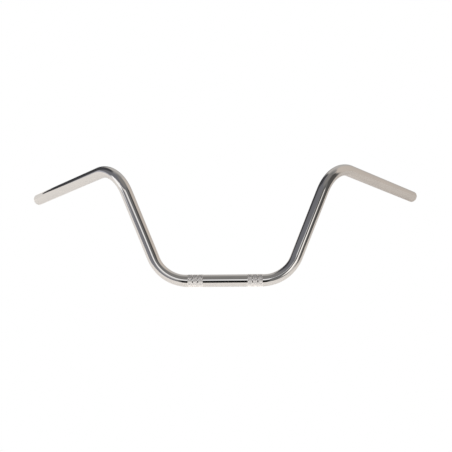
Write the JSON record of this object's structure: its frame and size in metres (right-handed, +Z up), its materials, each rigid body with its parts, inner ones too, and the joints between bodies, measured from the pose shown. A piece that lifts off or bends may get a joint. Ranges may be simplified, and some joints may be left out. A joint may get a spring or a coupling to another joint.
{
  "type": "handlebar",
  "caption": "Motorcycle handlebar bent from round chromed steel tube: straight centre with knurled clamp bands, outward risers, and straight grips swept back.",
  "frame": {"origin": "on the tube's axis, halfway between the two clamp places, at the middle of the straight centre", "axes": "+X along the straight centre to the rider's left, +Y from the clamps toward the rider, +Z up, with the bar lying at rest on its centre and its two grip ends"},
  "size_m": [0.8, 0.3208, 0.1604],
  "materials": {
    "chrome_plate": "bright chrome plate on polished steel tube, with knurled bands at the clamps and a dull bore"
  },
  "bodies": {
    "root": {"handlebar_tube": "chrome_plate"}
  },
  "joints": []
}
